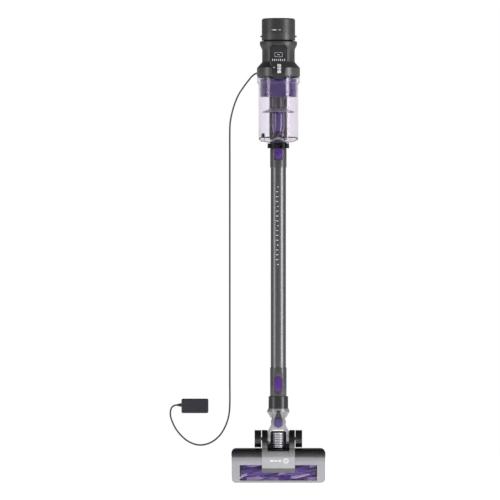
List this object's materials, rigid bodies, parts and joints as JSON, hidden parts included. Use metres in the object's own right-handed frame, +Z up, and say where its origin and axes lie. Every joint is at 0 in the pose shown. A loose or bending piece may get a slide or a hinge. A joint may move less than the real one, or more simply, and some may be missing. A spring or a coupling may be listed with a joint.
{
  "type": "cordless stick vacuum",
  "caption": "Cordless stick vacuum hanging on a wall: ribbed motor unit with a clear cyclone cup, straight wand, swivelling powered floor head, charger lead and plug-in adapter.",
  "frame": {"origin": "centre of the battery foot's wall face, which hangs on the wall dock", "axes": "+Z up along the wand, +Y into the wall, +X to the right of someone facing the wall"},
  "size_m": [0.3755, 0.2571, 1.112],
  "materials": {
    "dark_shell": "fine-grain moulded ABS, satin",
    "shoulder_grey": "smooth moulded ABS, semi-gloss",
    "panel_black": "satin ABS",
    "display_glass": "gloss smoked lens",
    "silver_plastic": "metallised ABS",
    "board_green": "solder-masked fibreglass board",
    "motor_metal": "die-cast, satin",
    "steel": "ground steel",
    "fan_white": "glass-filled nylon",
    "filter_white": "pleated filter paper",
    "foam_grey": "open-cell filter foam",
    "duct_dark": "moulded ABS",
    "cyclone_purple": "gloss moulded ABS, purple",
    "button_purple": "satin moulded ABS, purple",
    "mesh_black": "perforated moulding",
    "skirt_grey": "smooth moulded ABS",
    "clear_cup": "clear polycarbonate",
    "rubber_black": "moulded silicone rubber",
    "cell_green": "wrapped lithium cells",
    "tube_grey": "anodised, satin",
    "sleeve_grey": "fine-grain moulded ABS",
    "collar_grey": "satin ABS",
    "yoke_silver": "metallic ABS, semi-gloss",
    "hose_silver": "blow-moulded PVC, silver",
    "head_dark": "moulded ABS",
    "head_grey": "metallic grey ABS, semi-gloss",
    "cover_grey": "metallic light grey ABS",
    "clear_window": "clear polycarbonate",
    "bristle_purple": "nylon bristle and plush strip",
    "wheel_black": "soft tread on a moulded wheel",
    "lead_black": "PVC-sheathed lead",
    "adapter_black": "moulded polycarbonate",
    "pin_nickel": "nickel-plated brass"
  },
  "bodies": {
    "main_unit": {"hepa_filter": "filter_white", "motor_housing": "dark_shell", "shoulder_ring": "shoulder_grey", "control_panel": "panel_black", "display_lens": "display_glass", "control_board": "board_green", "motor_can": "motor_metal", "pre_filter": "foam_grey", "inlet_duct": "duct_dark", "cyclone_top": "cyclone_purple", "mesh_shroud": "mesh_black", "shroud_skirt": "skirt_grey", "cyclone_cone": "cyclone_purple", "handle_left": "dark_shell", "handle_right": "dark_shell", "handle_screws": "steel", "battery_foot": "dark_shell", "charge_jack": "rubber_black", "charger_cord": "lead_black", "dc_plug": "lead_black", "cord_relief": "lead_black", "adapter_body": "adapter_black", "adapter_pins": "pin_nickel"},
    "exhaust": {"exhaust_cap": "dark_shell"},
    "switch": {"power_slide": "silver_plastic"},
    "fan": {"fan_shaft": "steel", "impeller": "fan_white"},
    "battery": {"battery_shell": "panel_black", "battery_cells": "cell_green"},
    "pack_button_left": {"battery_button_left": "button_purple"},
    "pack_button_right": {"battery_button_right": "button_purple"},
    "cup": {"dust_cup": "clear_cup", "cup_seal": "rubber_black", "lid_pins": "steel"},
    "lid": {"cup_lid": "clear_cup", "lid_gasket": "rubber_black"},
    "latch": {"lid_latch": "button_purple"},
    "wand": {"upper_sleeve": "sleeve_grey", "wand_tube": "tube_grey", "lower_sleeve": "sleeve_grey"},
    "wand_button_top": {"upper_button": "button_purple"},
    "wand_button_low": {"lower_button": "button_purple"},
    "neck": {"neck_collar": "collar_grey", "swivel_cap": "button_purple"},
    "fork": {"yoke": "yoke_silver", "neck_hose": "hose_silver"},
    "head": {"head_base": "head_dark", "head_cover": "head_grey", "head_window": "clear_window", "centre_cover": "cover_grey", "hinge_axles": "steel", "head_motor": "steel", "drive_belt": "rubber_black"},
    "brush_roll": {"brush_core": "cyclone_purple", "brush_bristles": "bristle_purple"},
    "pinion": {"motor_pinion": "steel"},
    "rear_wheel_left": {"wheel_left": "wheel_black"},
    "rear_wheel_right": {"wheel_right": "wheel_black"},
    "sole_roller_left": {"roller_left": "wheel_black"},
    "sole_roller_right": {"roller_right": "wheel_black"}
  },
  "joints": [
    {"name": "cap_twist", "type": "hinge", "parent": "main_unit", "child": "exhaust", "pos_m": [0, -0.18, 0.066], "axis": [0, 0, 1], "range_deg": [0, 25]},
    {"name": "power_slide_move", "type": "slide", "parent": "main_unit", "child": "switch", "axis": [0, 0.2559, 0.9667], "range_m": [0, 0.006]},
    {"name": "fan_spin", "type": "hinge", "parent": "main_unit", "child": "fan", "pos_m": [0, -0.18, -0.02], "axis": [0, 0, 1], "continuous": true},
    {"name": "battery_slide", "type": "slide", "parent": "main_unit", "child": "battery", "axis": [0, 0, -1], "range_m": [0, 0.12]},
    {"name": "pack_button_left_press", "type": "slide", "parent": "battery", "child": "pack_button_left", "axis": [1, 0, 0], "range_m": [0, 0.002], "stiffness_N_per_m": 600, "springref_m": -0.001},
    {"name": "pack_button_right_press", "type": "slide", "parent": "battery", "child": "pack_button_right", "axis": [-1, 0, 0], "range_m": [0, 0.002], "stiffness_N_per_m": 600, "springref_m": -0.001},
    {"name": "cup_slide", "type": "slide", "parent": "main_unit", "child": "cup", "axis": [0, 0, -1], "range_m": [0, 0.06]},
    {"name": "lid_swing", "type": "hinge", "parent": "cup", "child": "lid", "pos_m": [0, -0.23, -0.196], "axis": [-1, 0, 0], "range_deg": [0, 85]},
    {"name": "latch_press", "type": "hinge", "parent": "cup", "child": "latch", "pos_m": [-0.03842, -0.14776, -0.186], "axis": [0.6428, 0.766, 0], "range_deg": [0, 8], "stiffness_Nm_per_rad": 0.3, "springref_deg": -5.73},
    {"name": "wand_release", "type": "slide", "parent": "main_unit", "child": "wand", "axis": [0, 0, -1], "range_m": [0, 0.03]},
    {"name": "upper_button_press", "type": "slide", "parent": "wand", "child": "wand_button_top", "axis": [0, 1, 0], "range_m": [0, 0.0018], "stiffness_N_per_m": 600, "springref_m": -0.001},
    {"name": "lower_button_press", "type": "slide", "parent": "wand", "child": "wand_button_low", "axis": [0, 1, 0], "range_m": [0, 0.0018], "stiffness_N_per_m": 600, "springref_m": -0.001},
    {"name": "head_release", "type": "slide", "parent": "wand", "child": "neck", "axis": [0, 0, -1], "range_m": [0, 0.05]},
    {"name": "neck_swivel", "type": "hinge", "parent": "neck", "child": "fork", "pos_m": [0, -0.138, -0.875], "axis": [0, 1, 0], "range_deg": [-50, 50]},
    {"name": "head_pitch", "type": "hinge", "parent": "fork", "child": "head", "pos_m": [0, -0.138, -0.914], "axis": [-1, 0, 0], "range_deg": [0, 90], "deforming": ["neck_hose"]},
    {"name": "brush_spin", "type": "hinge", "parent": "head", "child": "brush_roll", "pos_m": [0, -0.139, -0.993], "axis": [1, 0, 0], "continuous": true},
    {"name": "motor_spin", "type": "hinge", "parent": "head", "child": "pinion", "pos_m": [0, -0.152, -0.957], "axis": [1, 0, 0], "continuous": true},
    {"name": "wheel_left_spin", "type": "hinge", "parent": "head", "child": "rear_wheel_left", "pos_m": [0, -0.138, -0.914], "axis": [1, 0, 0], "continuous": true},
    {"name": "wheel_right_spin", "type": "hinge", "parent": "head", "child": "rear_wheel_right", "pos_m": [0, -0.138, -0.914], "axis": [1, 0, 0], "continuous": true},
    {"name": "roller_left_spin", "type": "hinge", "parent": "head", "child": "sole_roller_left", "pos_m": [-0.06, -0.121, -0.958], "axis": [1, 0, 0], "continuous": true},
    {"name": "roller_right_spin", "type": "hinge", "parent": "head", "child": "sole_roller_right", "pos_m": [0.06, -0.121, -0.958], "axis": [1, 0, 0], "continuous": true}
  ],
  "couplings": [
    {"joint": "motor_spin", "follows": "brush_spin", "ratio": 2.4}
  ]
}
